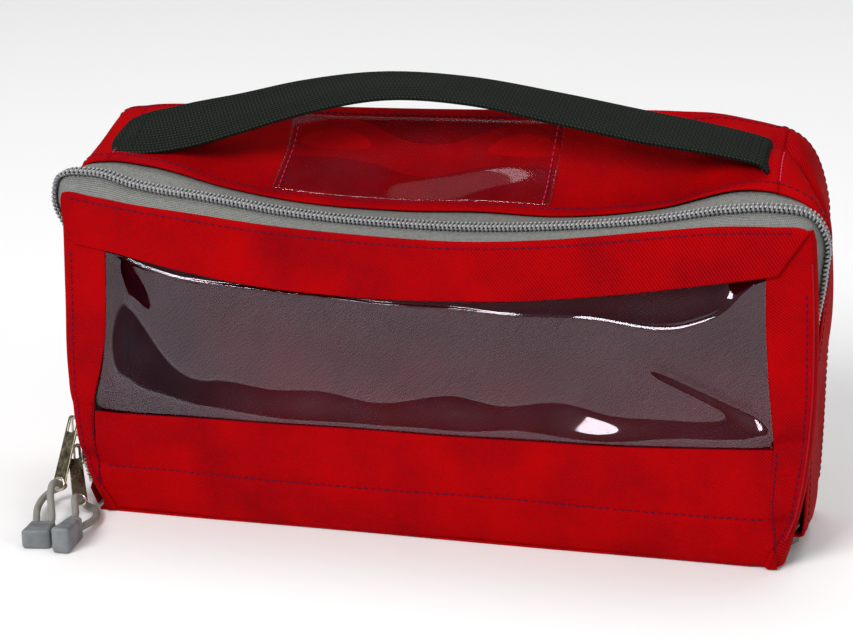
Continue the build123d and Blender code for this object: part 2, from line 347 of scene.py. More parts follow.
def stitches(name, path, outward, material, pitch=3.0, half_length=1.15, radius=0.3):
    """A row of sewn stitches along the path, half sunk into the cloth under them."""
    centres, at = resample(path, pitch, pitch / 2)
    along = lengths(path)
    normals = read_along(outward, along, at)
    tangents = unit(read_along(np.gradient(path, along, axis=0), along, at))
    normals = unit(normals - np.einsum("nk,nk->n", normals, tangents)[:, None] * tangents)
    proud = 0.08
    return beads(name, centres + proud * normals, tangents, normals,
                 (half_length, radius, radius), material)


def surface_normals(grid):
    along, across = np.gradient(grid, axis=0), np.gradient(grid, axis=1)
    normal = np.cross(along, across)
    return normal / np.maximum(np.linalg.norm(normal, axis=2), 1e-9)[..., None]


def rides(obj, body, slot, *nodes):
    """The piece moves with one body and is shown instead of these CAD nodes."""
    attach(obj, body)
    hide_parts(*nodes)


def sew(name, grid, at, material, *sizes):
    """A row of stitches along a row of a grid's points."""
    return stitches(name, grid[at], surface_normals(grid)[at], material, *sizes)


def fold_blend(obj):
    """Bakes the object's place into its mesh."""
    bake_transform(obj)


def folds(obj, slot, *nodes):
    """The piece's place is baked into its mesh, and it is shown instead of these CAD nodes."""
    fold_blend(obj)
    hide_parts(*nodes)


# ---------------------------------------------------------------- materials


class Shader:
    """A Principled material with short calls for the nodes that feed it."""

    def __init__(self, name, colour, roughness, **inputs):
        self.material = bpy.data.materials.new(name)
        self.material.use_nodes = True
        self.tree = self.material.node_tree
        self.principled = self.tree.nodes["Principled BSDF"]
        self.principled.inputs["Base Color"].default_value = (*colour, 1)
        self.principled.inputs["Roughness"].default_value = roughness
        for label, value in inputs.items():
            socket = self.principled.inputs[label.replace("_", " ")]
            socket.default_value = (*value, 1) if isinstance(value, tuple) else value

    def node(self, kind, settings=(), **values):
        made = self.tree.nodes.new(kind)
        for key, value in settings:
            setattr(made, key, value)
        for label, value in values.items():
            self.feed(made.inputs[label], value)
        return made

    def feed(self, socket, value):
        if isinstance(value, bpy.types.NodeSocket):
            self.tree.links.new(value, socket)
        else:
            socket.default_value = value

    def math(self, operation, first, second=0.0):
        made = self.node("ShaderNodeMath", [("operation", operation)])
        self.feed(made.inputs[0], first)
        self.feed(made.inputs[1], second)
        return made.outputs[0]

    def blend(self, first, first_share, second, second_share):
        return self.math("ADD", self.math("MULTIPLY", first, first_share),
                         self.math("MULTIPLY", second, second_share))

    def mix(self, factor, first, second):
        made = self.node("ShaderNodeMix", [("data_type", "RGBA")])
        self.feed(made.inputs["Factor"], factor)
        self.feed(made.inputs["A"], (*first, 1) if isinstance(first, tuple) else first)
        self.feed(made.inputs["B"], (*second, 1) if isinstance(second, tuple) else second)
        return next(s for s in made.outputs if s.type == "RGBA")

    def ramp(self, value, low, high, first=0.0, second=1.0):
        made = self.node("ShaderNodeMapRange", [("clamp", True)])
        for label, number in (("Value", value), ("From Min", low), ("From Max", high),
                              ("To Min", first), ("To Max", second)):
            self.feed(made.inputs[label], number)
        return made.outputs[0]

    def uv(self):
        """The two distances, in millimetres, that grids and tubes carry."""
        coordinates = self.node("ShaderNodeUVMap", [("uv_map", "UVMap")])
        split = self.node("ShaderNodeSeparateXYZ", Vector=coordinates.outputs[0])
        return split.outputs[0], split.outputs[1]

    def noise(self, scale, detail=3.0, stretch=(1, 1, 1)):
        coordinates = self.node("ShaderNodeTexCoord").outputs["Object"]
        mapping = self.node("ShaderNodeMapping", Vector=coordinates, Scale=stretch)
        made = self.node("ShaderNodeTexNoise", Vector=mapping.outputs[0], Scale=scale,
                         Detail=detail)
        return made.outputs[0]

    def wave(self, distance, pitch):
        """0 to 1 and back over each pitch."""
        turned = self.math("MULTIPLY", distance, 2 * math.pi / pitch)
        return self.math("ADD", self.math("MULTIPLY", self.math("SINE", turned), 0.5), 0.5)

    def bump(self, value, height_mm, strength=1.0):
        made = self.node("ShaderNodeBump", Height=value, Strength=strength,
                         Distance=height_mm * MM)
        self.tree.links.new(made.outputs[0], self.principled.inputs["Normal"])

    def colour(self, socket):
        self.tree.links.new(socket, self.principled.inputs["Base Color"])

    def roughness(self, socket):
        self.tree.links.new(socket, self.principled.inputs["Roughness"])


def twill(shader, pitch):
    """Diagonal ribs crossed by finer ones, 0 in the gaps and 1 on the yarns."""
    u, v = shader.uv()
    ribs = shader.wave(shader.math("ADD", u, v), pitch * math.sqrt(2))
    cross = shader.wave(shader.math("SUBTRACT", u, v), pitch * 0.75)
    return shader.blend(ribs, 0.62, cross, 0.38)


def red_fabric():
    light, dark = (0.43, 0.0, 0.0004), (0.085, 0.0, 0.003)
    shader = Shader("red_fabric", light, 0.75, Specular_IOR_Level=0.03)
    weave = twill(shader, 0.95)
    blotches = shader.noise(38.0, 3.0)
    fleck = shader.noise(900.0, 2.0)
    tone = shader.blend(weave, 0.48, blotches, 0.52)
    tone = shader.math("ADD", tone, shader.math("MULTIPLY", fleck, 0.25))
    shader.colour(shader.mix(shader.ramp(tone, 0.25, 0.85), dark, light))
    shader.roughness(shader.ramp(fleck, 0.3, 0.7, 0.6, 0.85))
    shader.bump(weave, 0.16, 0.9)
    return shader.material


def grey_tape():
    shader = Shader("grey_tape", (0.17, 0.17, 0.165), 0.85, Specular_IOR_Level=0.2)
    u, v = shader.uv()
    wales = shader.wave(v, 0.9)
    shifted = shader.math("ADD", u, shader.math("MULTIPLY", shader.wave(v, 1.8), 0.7))
    picks = shader.wave(shifted, 0.75)
    weave = shader.math("MULTIPLY", shader.math("ADD", wales, picks), 0.5)
    fleck = shader.noise(700.0, 2.0)
    tone = shader.blend(weave, 0.7, fleck, 0.4)
    shader.colour(shader.mix(shader.ramp(tone, 0.2, 0.85), (0.06, 0.06, 0.058),
                             (0.27, 0.27, 0.255)))
    shader.bump(weave, 0.14, 0.9)
    return shader.material


def coil_plastic():
    shader = Shader("grey_coil", (0.16, 0.17, 0.18), 0.28, Specular_IOR_Level=0.6)
    patches = shader.noise(420.0, 2.0)
    shader.colour(shader.mix(patches, (0.10, 0.105, 0.115), (0.30, 0.31, 0.32)))
    shader.roughness(shader.ramp(patches, 0.3, 0.7, 0.2, 0.4))
    return shader.material


def thread(name, first, second):
    shader = Shader(name, first, 0.7, Specular_IOR_Level=0.15)
    ply = shader.noise(1500.0, 2.0, (1, 1, 3))
    shader.colour(shader.mix(ply, first, second))
    shader.bump(ply, 0.05, 0.7)
    return shader.material


def metal(name, light, dark, roughness):
    shader = Shader(name, light, roughness, Metallic=1.0)
    patches = shader.noise(240.0, 4.0)
    scratches = shader.noise(900.0, 2.0, (1, 1, 0.08))
    shader.colour(shader.mix(shader.ramp(patches, 0.35, 0.7), light, dark))
    shader.roughness(shader.ramp(scratches, 0.3, 0.75, roughness * 0.7, roughness * 1.8))
    shader.bump(scratches, 0.006, 0.3)
    return shader.material


def braid_cord():
    shader = Shader("grey_cord", (0.30, 0.29, 0.27), 0.8, Specular_IOR_Level=0.2)
    u, v = shader.uv()
    turns = shader.math("MULTIPLY", v, 8.0)
    one = shader.wave(shader.math("ADD", shader.math("MULTIPLY", u, 0.5), turns), 1.0)
    two = shader.wave(shader.math("SUBTRACT", shader.math("MULTIPLY", u, 0.5), turns), 1.0)
    yarns = shader.math("MAXIMUM", one, two)
    shader.colour(shader.mix(shader.ramp(yarns, 0.3, 1.0), (0.06, 0.058, 0.052),
                             (0.36, 0.35, 0.32)))
    shader.bump(yarns, 0.1, 0.7)
    return shader.material


def grip_rubber():
    shader = Shader("grey_grip", (0.20, 0.22, 0.235), 0.55, Specular_IOR_Level=0.4)
    grain = shader.noise(1300.0, 3.0)
    dust = shader.noise(120.0, 3.0)
    shader.colour(shader.mix(shader.ramp(dust, 0.35, 0.7), (0.115, 0.128, 0.138),
                             (0.19, 0.205, 0.215)))
    shader.roughness(shader.ramp(grain, 0.3, 0.7, 0.45, 0.7))
    shader.bump(grain, 0.04, 0.6)
    return shader.material


def webbing():
    shader = Shader("black_webbing", (0.012, 0.016, 0.012), 0.75, Specular_IOR_Level=0.12)
    u, v = shader.uv()
    staggered = shader.math("ADD", u, shader.math("MULTIPLY", shader.wave(v, 3.1), 0.8))
    picks = shader.wave(staggered, 1.6)
    ends = shader.wave(v, 1.55)
    weave = shader.math("MULTIPLY", picks, ends)
    fleck = shader.noise(800.0, 2.0)
    tone = shader.blend(weave, 0.8, fleck, 0.3)
    shader.colour(shader.mix(shader.ramp(tone, 0.2, 0.95), (0.002, 0.003, 0.002),
                             (0.022, 0.029, 0.022)))
    shader.bump(weave, 0.22, 0.9)
    return shader.material


def clear_film(name, alpha):
    """Clear plastic, a little smoky: mostly see-through, with a glossy face."""
    shader = Shader(name, (0.012, 0.006, 0.012), 0.04, Alpha=alpha, Specular_IOR_Level=0.9,
                    IOR=1.72, Specular_Tint=(1.0, 0.86, 0.95))
    haze = shader.noise(60.0, 4.0)
    scuffs = shader.noise(90.0, 2.0, (1, 1, 0.25))
    shader.roughness(shader.ramp(scuffs, 0.35, 0.8, 0.035, 0.075))
    shader.colour(shader.mix(shader.ramp(haze, 0.35, 0.75), (0.006, 0.002, 0.006),
                             (0.028, 0.016, 0.026)))
    return shader.material


def floor_material():
    shader = Shader("pale_floor", (0.86, 0.86, 0.86), 0.7, Specular_IOR_Level=0.1)
    shader.colour(shader.mix(shader.noise(3.0, 2.0), (0.85, 0.85, 0.85), (0.88, 0.88, 0.88)))
    return shader.material


# ---------------------------------------------------------------- camera, light and floor


def add_camera():
    """The photograph's view, from a camera fitted to the pouch's corners."""
    yaw, pitch, roll = (math.radians(angle) for angle in (15.05, 18.08, -1.003))
    place = (0.2332, -0.8936, 0.38465)
    forward = np.array([-math.sin(yaw) * math.cos(pitch), math.cos(yaw) * math.cos(pitch),
                        -math.sin(pitch)])
    level = np.array([math.cos(yaw), math.sin(yaw), 0.0])
    up = np.cross(level, forward)
    right = math.cos(roll) * level + math.sin(roll) * up
    up = math.cos(roll) * up - math.sin(roll) * level
    camera = bpy.data.objects.new("camera", bpy.data.cameras.new("camera"))
    bpy.context.scene.collection.objects.link(camera)
    camera.data.lens, camera.data.sensor_width = 100.86, 36.0
    camera.data.clip_start = 0.05
    columns = np.column_stack([right, up, -forward])
    camera.matrix_world = Matrix.Translation(place) @ Matrix(columns.tolist()).to_4x4()
    bpy.context.scene.camera = camera


def area_light(name, place, target, size, power, colour=(1, 1, 1)):
    data = bpy.data.lights.new(name, "AREA")
    data.shape, data.size, data.size_y = "RECTANGLE", size[0], size[1]
    data.energy, data.color = power, colour
    light = bpy.data.objects.new(name, data)
    bpy.context.scene.collection.objects.link(light)
    light.location = place
    light.rotation_mode = "QUATERNION"
    light.rotation_quaternion = (Vector(place) - Vector(target)).to_track_quat("Z", "Y")


def add_studio():
    """A big soft light above, softer ones at the sides, and a sky that is dim at the horizon."""
    area_light("key", (-1.1, -2.3, 1.9), (0, 0, 0.08), (1.5, 1.1), 88)
    area_light("top", (0.4, 0.9, 2.8), (0, 0, 0.1), (2.2, 1.4), 30)
    area_light("side", (2.3, -1.3, 1.3), (0.05, 0, 0.08), (1.0, 1.2), 17)
    world = bpy.data.worlds.new("studio")
    bpy.context.scene.world = world
    world.use_nodes = True
    nodes, links = world.node_tree.nodes, world.node_tree.links
    coordinates = nodes.new("ShaderNodeTexCoord")
    split = nodes.new("ShaderNodeSeparateXYZ")
    links.new(coordinates.outputs["Generated"], split.inputs[0])
    spread = nodes.new("ShaderNodeMapRange")
    for label, value in (("From Min", 0.1), ("From Max", 0.9), ("To Min", 0.3), ("To Max", 1.0)):
        spread.inputs[label].default_value = value
    links.new(split.outputs[2], spread.inputs["Value"])
    links.new(spread.outputs[0], nodes["Background"].inputs["Color"])
    nodes["Background"].inputs["Strength"].default_value = 0.5
    bpy.context.scene.view_settings.view_transform = "Standard"


def add_floor():
    half, steps = 12000.0, 9
    line = np.linspace(-half, half, steps)
    grid = np.stack([*np.meshgrid(line, line, indexing="ij"), np.zeros((steps, steps))], axis=2)
    mesh_object("floor", grid.reshape(-1, 3), grid_faces(steps, steps),
                         floor_material())


# ---------------------------------------------------------------- cords and pulls


def curve_mesh(data):
    """The mesh that a curve's settings make of it."""
    carrier = bpy.data.objects.new("carrier", data)
    bpy.context.scene.collection.objects.link(carrier)
    mesh = bpy.data.meshes.new_from_object(carrier)
    bpy.data.objects.remove(carrier)
    return mesh


def nurbs_path(points):
    """The line of a NURBS spline with these points as its control points."""
    data = bpy.data.curves.new("route", "CURVE")
    data.dimensions = "3D"
    data.resolution_u = 24
    spline = data.splines.new("NURBS")
    spline.points.add(len(points) - 1)
    for point, place in zip(spline.points, points):
        point.co = (*(c * MM for c in place), 1)
    spline.order_u = 3
    spline.use_endpoint_u = True
    mesh = curve_mesh(data)
    path = np.array([v.co for v in mesh.vertices], float) / MM
    bpy.data.meshes.remove(mesh)
    return path


def pull_cord(level, pull, materials):
    """The braided cord: its sheath's yarns cross, eight each way."""
    path, _ = resample(nurbs_path(pull["cord"]), 0.22)
    sides, yarns, lay, groove = 32, 8, 5.0, 0.14
    angles = np.linspace(0, 2 * math.pi, sides, endpoint=False)[None]
    along = lengths(path)[:, None] * 2 * math.pi / lay
    one, two = np.cos(yarns / 2 * angles + along), np.cos(yarns / 2 * angles - along)
    radius = CORD_DIAMETER / 2 - groove + groove * np.maximum(np.abs(one), np.abs(two)) ** 0.7
    cord = tube(f"cord_{level}", path, radius, materials["cord"], sides)
    rides(cord, f"pull_grip_{level}", "grey_cord", f"pull_cord_{level}")
    return cord, path


def ring(centre, radius, steps=36, start=0, end=360):
    full = end - start == 360
    turns = np.linspace(math.radians(start), math.radians(end), steps, endpoint=not full)
    return [(centre[0] + radius * math.cos(t), centre[1] + radius * math.sin(t)) for t in turns]


def rounded_box(half_x, half_y, radius, steps):
    """Points round a box with rounded corners. The two halves are to the arcs' centres."""
    corners = ((half_x, half_y), (-half_x, half_y), (-half_x, -half_y), (half_x, -half_y))
    return [point for k, corner in enumerate(corners)
            for point in ring(corner, radius, steps, 90 * k, 90 * k + 90)]


def pull_grip(level, pull, materials):
    """A moulded grip: a tapered block with soft edges, a collar behind and a rim in front."""
    (rear_x, rear_y), heading, rear_size, front_size, length = pull["grip"]
    turn = math.radians(heading)
    # How far along the grip each ring is, and how far inside its full size
    stations = [(0.0, 1.5), (0.12, 0.8), (0.5, 0.25), (1.1, 0.0), (2.6, 0.0), (2.9, 0.12),
                (3.2, 0.22), (3.6, 0.22), (3.9, 0.12), (4.2, 0.0), (length * 0.5, 0.1),
                (length - 3.6, 0.0), (length - 3.3, 0.1), (length - 3.0, 0.1),
                (length - 2.7, 0.0), (length - 1.0, 0.0), (length - 0.55, 0.12),
                (length - 0.2, 0.42), (length - 0.04, 0.85), (length, 1.4), (length, 1.9)]
    rows = []
    for reach, inset in stations:
        part = reach / length
        width, tall = (between(part, *sizes) for sizes in zip(rear_size, front_size))
        row = []
        half_x, half_y = width / 2 - inset, tall / 2 - inset
        radius = min(1.5, half_x - 0.01, half_y - 0.01)
        for across, up in rounded_box(half_x - radius, half_y - radius, radius, 7):
            bow = 0.9 * (1 - (2 * across / width) ** 2) * part
            reach_here = min(reach + bow - 0.9 * part, length)
            row.append((rear_x + reach_here * math.sin(turn) + across * math.cos(turn),
                        rear_y - reach_here * math.cos(turn) + across * math.sin(turn),
                        up + tall / 2))
        rows.append(row)
    faces = [face[::-1] for face in tube_faces(len(rows), len(rows[0]))]
    grip = face_outwards(mesh_object(f"grip_{level}", np.array(rows).reshape(-1, 3), faces,
                                     materials["grip"]))
    rides(grip, f"pull_grip_{level}", "grey_grip", f"pull_grip_{level}")
    return grip


def plate(name, outlines, half_thickness, bevel, material, place):
    """A flat plate with rounded edges, from closed (x, y) rings. Inner rings are holes."""
    data = bpy.data.curves.new(name, "CURVE")
    data.dimensions, data.fill_mode = "2D", "BOTH"
    data.extrude, data.bevel_depth = (half_thickness - bevel) * MM, bevel * MM
    data.bevel_resolution, data.offset = 3, -bevel * MM
    for outline in outlines:
        spline = data.splines.new("POLY")
        spline.points.add(len(outline) - 1)
        for point, (x, y) in zip(spline.points, outline):
            point.co = (x * MM, y * MM, 0, 1)
        spline.use_cyclic_u = True
    mesh = curve_mesh(data)
    mesh.name = name
    mesh.materials.clear()
    mesh.polygons.foreach_set("use_smooth", [True] * len(mesh.polygons))
    mesh.set_sharp_from_angle(angle=math.radians(35))
    obj = new_object(name, mesh, material)
    obj.matrix_world = place
    return obj


def joined(objects, name):
    """One object from several, with their places applied."""
    bpy.ops.object.select_all(action="DESELECT")
    for obj in objects:
        obj.select_set(True)
    bpy.context.view_layer.objects.active = objects[0]
    bpy.ops.object.join()
    objects[0].name = name
    objects[0].data.transform(objects[0].matrix_world)
    objects[0].matrix_world = Matrix.Identity(4)
    return objects[0]


def pull_tab(level, pull, materials):
    """A pressed tab: a slot, a plain blade with bright bevels, and a raised rim round the eye. The
    blade's dark faces are a painted reflection, and the bright bevels and rim a painted highlight.
    """
    origin = np.array([HANGER_X, CHAIN_Y, pull["z"]])
    along = np.array(pull["eye"]) - origin
    reach = np.linalg.norm(along)
    across = unit(np.array([-along[1], along[0], 0.0]))
    normal = np.cross(across, -along / reach)
    place = Matrix.Translation(origin * MM) @ Matrix(
        np.column_stack([across, -along / reach, normal]).tolist()).to_4x4()
    # The top above the hanger, half the width there and round the eye, and the corners' radius
    top, half, end_half, corner = 4.3, 2.8, 3.1, 1.6
    eye_radius, rim_radius, rim_wire, rim_lift = 2.1, 2.5, 0.5, 0.45
    outline = [*ring((half - corner, top - corner), corner, 7, 0, 90),
               *ring((corner - half, top - corner), corner, 7, 90, 180),
               *ring((0, -reach), end_half, 19, 180, 360)]
    slot = rounded_box(0.9, 2.1, 0.7, 5)
    body = plate("blade", [outline, slot, ring((0, -reach), eye_radius)], 0.5, 0.32,
                 materials["tab"], place)
    body.data.materials.append(materials["tab_edge_painted_highlight"])
    for face in body.data.polygons:
        face.material_index = int(abs(face.normal.z) < 0.97)  # the bevels are brighter, a painted highlight; the faces' dark finish is a painted reflection
    circle = ring((0, -reach), rim_radius, 40)
    circle = np.array(circle + circle[:2])
    eye_path = (origin + circle[:, :1] * across + circle[:, 1:] * (-along / reach)
                + rim_lift * normal)
    eye = tube("eye", eye_path, rim_wire, materials["tab_edge_painted_highlight"], 12, capped=False)
    tab = joined([body, eye], f"tab_{level}")
    rides(tab, f"pull_tab_{level}", "nickel", f"pull_tab_{level}")


def beside_chain(x, z, side):
    """The place of a plate that faces out at the pouch's side, where the chain runs."""
    return Matrix.Translation((x * MM, CHAIN_Y * MM, z * MM)) @ Matrix(
        ((0, 0, side), (side, 0, 0), (0, 1, 0))).to_4x4()


def slider(level, pull, materials):
    """Two shield-shaped plates, a crown on the outer one, the post, and the bent wire hanger."""
    z = pull["z"]
    shield = [*ring((3.2, 3.2), 1.8, 6, 0, 90), *ring((-3.2, 3.2), 1.8, 6, 90, 180), (-4.9, 0.3),
              *ring((-1.0, -4.0), 1.0, 6, 190, 270), *ring((1.0, -4.0), 1.0, 6, 270, 350),
              (4.9, 0.3)]
    outer_x, inner_x, crown_x = -151.1, -147.3, -151.75
    parts = []
    for x in (outer_x, inner_x):
        parts.append(plate("shield", [shield], 0.4, 0.25, materials["slider"],
                           beside_chain(x, z, -1)))
    crown = [(2.1, 3.4), (-2.1, 3.4), (-2.6, 0.4), (-0.9, -3.4), (0.9, -3.4), (2.6, 0.4)]
    parts.append(plate("crown", [crown], 0.3, 0.25, materials["slider"],
                       beside_chain(crown_x, z, -1)))
    wire = [(-151.3, -4.0), (-153.6, -4.1), (-155.4, -3.9), (-156.4, -2.9), (-156.6, 0),
            (-156.4, 2.9), (-155.4, 3.9), (-153.6, 4.1), (-151.3, 4.0)]
    along = lengths(np.array(wire))
    bend = through(along, wire, np.linspace(0, along[-1], 40))
    path = np.stack([bend[:, 0], np.full(40, CHAIN_Y), z + bend[:, 1]], axis=1)
    parts.append(tube("wire", path, 0.52, materials["slider"], 12))
    post = np.array([(x, CHAIN_Y, z) for x in (-150.8, -149.5, -148.6, -147.5)])
    parts.append(tube("post", post, 0.35, materials["slider"], 10))
    body = joined(parts, f"zip_slider_{level}")
    rides(body, f"slider_{level}", "nickel", f"slider_{level}")


def add_pulls(materials):
    for level, pull in PULLS.items():
        cord, path = pull_cord(level, pull, materials)
        grip = pull_grip(level, pull, materials)
        pull_tab(level, pull, materials)
        slider(level, pull, materials)


# ---------------------------------------------------------------- shell of the case


# How strongly the top sags behind the zip at each x: 1 is straight
SAG = [(-150, 0.9), (-125, 1.0), (-95, 1.45), (-60, 2.0), (40, 2.2), (75, 2.5), (105, 2.0),
       (128, 0.95), (150, 0.8)]


def shell_points(place, depth):
    """Points of the top and sides, depth 0 at the zip tape's edge and 1 at the back."""
    near, far = rail("tape", place), rail("back", place)
    near_x, near_z = near[:, :1], near[:, 1:]
    share = np.asarray(depth, float)[None]
    # The top sags between its two rails; down the sides the cloth runs straight between them
    sag = np.sign(share) * np.abs(share) ** height(SAG, near[:, 0])[:, None]
    on_side = smooth_step(near[:, 1], 143, 118)[:, None]
    rise = on_side * share + (1 - on_side) * sag
    x = between(share, near_x, far[:, :1])
    z = between(rise, near_z, far[:, 1:])
    # Both gussets reach forward at their feet, and the right one is lifted off the ground too
    right_foot = smooth_step(near_x, 120, 140) * smooth_step(near_z, 100, 62)
    left_foot = smooth_step(near_x, -120, -140) * smooth_step(near_z, 12.5, 8)
    reach = 0.4 * (right_foot + left_foot) * smooth_step(share, 0.4, 0.02)
    y = TAPE_Y + (share - reach) * (BACK_Y - TAPE_Y)
    ground, foot_lift = 0.9, 12.5
    z = np.maximum(z, ground + foot_lift * right_foot * smooth_step(share, 0.8, 0.0))
    # Soft creases down the sides and across the top, and the deep fold by the handle's right end
    middle = np.sin(np.pi * np.clip(share, 0, 1))
    side = np.sign(near_x)
    crease = 1.3 * np.sin(z / 17.0 + 2.6 * share) * middle * on_side
    crease += 1.8 * hump(z, 88, 22) * middle * on_side
    x = x + side * crease
    ripple = 0.9 * np.sin(x / 9.5 + 4.0 * share) * hump(np.abs(x), 118, 22) * middle
    ripple += 0.7 * np.sin(x / 21.0 - 3.0 * share) * middle
    tuck = 5.0 * smooth_step(x, 128.5, 132.0) * smooth_step(x, 148, 136)
    ripple = ripple + tuck * smooth_step(share, 0.05, 0.3) * smooth_step(share, 1.05, 0.75)
    valley = hump(share - 0.62 + 0.017 * (x - 131), 0, 0.085) * smooth_step(x, 129, 133)
    z = z + (1 - on_side) * (ripple - 5.5 * valley)
    return np.stack([x, y, z], axis=2)


def lifted(place, rows):
    """The shell's points at each row's depth, raised along the normal by the row's lift."""
    depth, lift = np.array(rows).T
    step = 0.01
    base = shell_points(place, depth)
    across = shell_points(place, depth + step) - shell_points(place, depth - step)
    normal = unit(np.cross(np.gradient(base, axis=0), across))
    return base + lift[None, :, None] * normal, normal


def shell_rows():
    """The cloth's front edge is folded under; its back edge meets the back panel in a ridge."""
    folded = [(0.13, 0.1), (0.05, 0.1), (0.0, 0.12), (-0.018, 0.35), (-0.026, 0.72),
              (-0.018, 1.1), (0.0, 1.32), (0.03, 1.4), (0.07, 1.3)]
    flat = [(t, 1.2) for t in np.linspace(0.11, 0.96, 26)]
    return folded + flat + [(0.985, 1.15), (1.0, 0.9), (1.01, 0.3), (1.012, -0.6), (1.0, -1.6)]


def add_case_cloth(materials):
    rows = shell_rows()
    for name, node, first, last in (
        ("side_cloth_left", "left_side_panel", 0, LEFT_SEAM),
        ("top_cloth", "top_panel", LEFT_SEAM, RIGHT_SEAM),
        ("side_cloth_right", "right_side_panel", RIGHT_SEAM, LAST),
    ):
        grid, _ = lifted(places(first, last, 2.0), rows)
        panel = cloth(name, grid, materials["red"], thickness=0.55, rounding=0)
        rides(panel, "case", "red_fabric", node)
    for name, depth, lift in (("tape_stitches_rear", 0.075, 1.3), ("ridge_stitches", 0.955, 1.2)):
        line, normal = lifted(places(1, LAST - 1, 1.0), [(depth, lift)])
        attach(stitches(name, line[:, 0], normal[:, 0], materials["thread"]), "case")
    for label, place_index in (("left", LEFT_SEAM), ("right", RIGHT_SEAM)):
        place = PLACES[place_index] + np.array([-0.5, 0, 0.5])
        line, normal = lifted(place, [(t, 1.2) for t in np.linspace(0.1, 0.42, 30)])
        seam = stitches(f"bartack_{label}", line[1], normal[1], materials["pink_thread"], 1.5,
                        0.8, 0.35)
        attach(seam, "case")


def patch(left, right, bottom, top):
    """A surface stretched between four edges: (x, z) points, left and right going up."""
    up, across = np.linspace(0, 1, len(left)), np.linspace(0, 1, len(bottom))
    v, s = up[None, :, None], across[:, None, None]
    ruled = (1 - s) * left[None] + s * right[None] + (1 - v) * bottom[:, None] + v * top[:, None]
    corners = ((1 - s) * (1 - v) * left[0] + s * (1 - v) * right[0] + (1 - s) * v * left[-1]
               + s * v * right[-1])
    return ruled - corners


def back_grid():
    corner, steps_across, steps_up = 7, 150, 90
    left = rail("back", np.linspace(PLACES[0], PLACES[corner], steps_up))
    right = rail("back", np.linspace(PLACES[-1], PLACES[LAST - corner], steps_up))
    top = rail("back", np.linspace(PLACES[corner], PLACES[LAST - corner], steps_across))
    bottom = np.linspace(left[0], right[0], steps_across)
    flat = patch(left, right, bottom, top)
    x, z = flat[..., 0], flat[..., 1]
    s, v = np.meshgrid(np.linspace(-1, 1, steps_across), np.linspace(0, 1, steps_up),
                       indexing="ij")
    inside = np.clip(1 - np.abs(s) ** 8, 0, 1) * np.sin(np.pi * v) ** 0.4
    y = BACK_Y + 0.9 + inside * (
        0.9 * np.sin(x / 34 + z / 21) + 0.7 * np.sin(x / 15 - z / 27) * hump(z, 35, 30) + 1.2)
    rounded = smooth_step(np.abs(s), 0.98, 1.0) + smooth_step(v, 0.975, 1.0)
    return np.stack([x, y - 1.3 * np.clip(rounded, 0, 1), z], axis=2)[::-1]


def add_back_and_bottom(materials):
    back = cloth("back_cloth", back_grid(), materials["red"], thickness=1.0, rounding=0.3)
    rides(back, "case", "red_fabric", "back_panel")
    share, y = np.meshgrid(np.linspace(0, 1, 90), np.linspace(-31.8, 33.4, 26), indexing="ij")
    behind = smooth_step(y, -28, -12)  # the base is wider behind the zip
    x = -141.8 - 3.1 * behind + share * (285.0 + 6.6 * behind)
    z = 1.1 + 0.25 * np.sin(x / 23) * np.sin(y / 14)
    z = z + 12.0 * smooth_step(x, 132, 145) * smooth_step(y, 20, -12)  # up to the lifted foot
    grid = np.stack([x, y, z], axis=2)
    bottom = cloth("bottom_cloth", grid, materials["red"], thickness=0.8, rounding=0.2)
    rides(bottom, "case", "red_fabric", "bottom_panel")


# ---------------------------------------------------------------- zip


def tape_strip(near_name, far_name, near, far, place, tuck=0.0):
    """A strip between two rails. near and far are (depth in y, inset below the rail).

    Down the sides its near edge is tucked further back, behind the front's side bands."""
    share = np.linspace(0, 1, 7)[None, :, None]
    ends = []
    for name, (_, inset) in ((near_name, near), (far_name, far)):
        points = rail(name, place) - inset * rail_outward(name, place)
        ends.append(points[:, None])
    points = ends[0] + share * (ends[1] - ends[0])
    on_left = ends[0][..., 0] < 0
    tucked = smooth_step(ends[0][..., 1], np.where(on_left, 121, 132),
                         np.where(on_left, 108, 112))
    near_y = near[0] + tuck * tucked
    y = near_y + share[..., 0] * (far[0] - near_y)
    return np.stack([points[..., 0], y, points[..., 1]], axis=2)


def add_tapes(materials):
    place = np.linspace(PLACES[0] + 1.0, PLACES[-1] - 1.0, 400)
    # Each tape's two edges lie beside the chain and under the cloth, a little below their rails
    grid = tape_strip("front", "chain", (-32.3, 1.3), (-21.7, 0.4), place, 3.0)
    front = cloth("tape_front", grid, materials["tape"], thickness=0.5, rounding=0)
    folds(front, "grey_tape", "zip_tape_front")
    grid = tape_strip("chain", "tape", (-20.3, 0.4), (-6.5, 0.35), place)
    rear = cloth("tape_rear", grid, materials["tape"], thickness=0.5, rounding=0)
    rides(rear, "case", "grey_tape", "zip_tape_rear")


def coil_line(place, depth):
    points = rail("chain", place)
    return np.stack([points[:, 0], np.full(len(points), depth), points[:, 1]], axis=1)


def coil_outward(place):
    """Which way is out of the pouch along the chain."""
    outward = rail_outward("chain", place)
    return np.stack([outward[:, 0], np.zeros(len(place)), outward[:, 1]], axis=1)


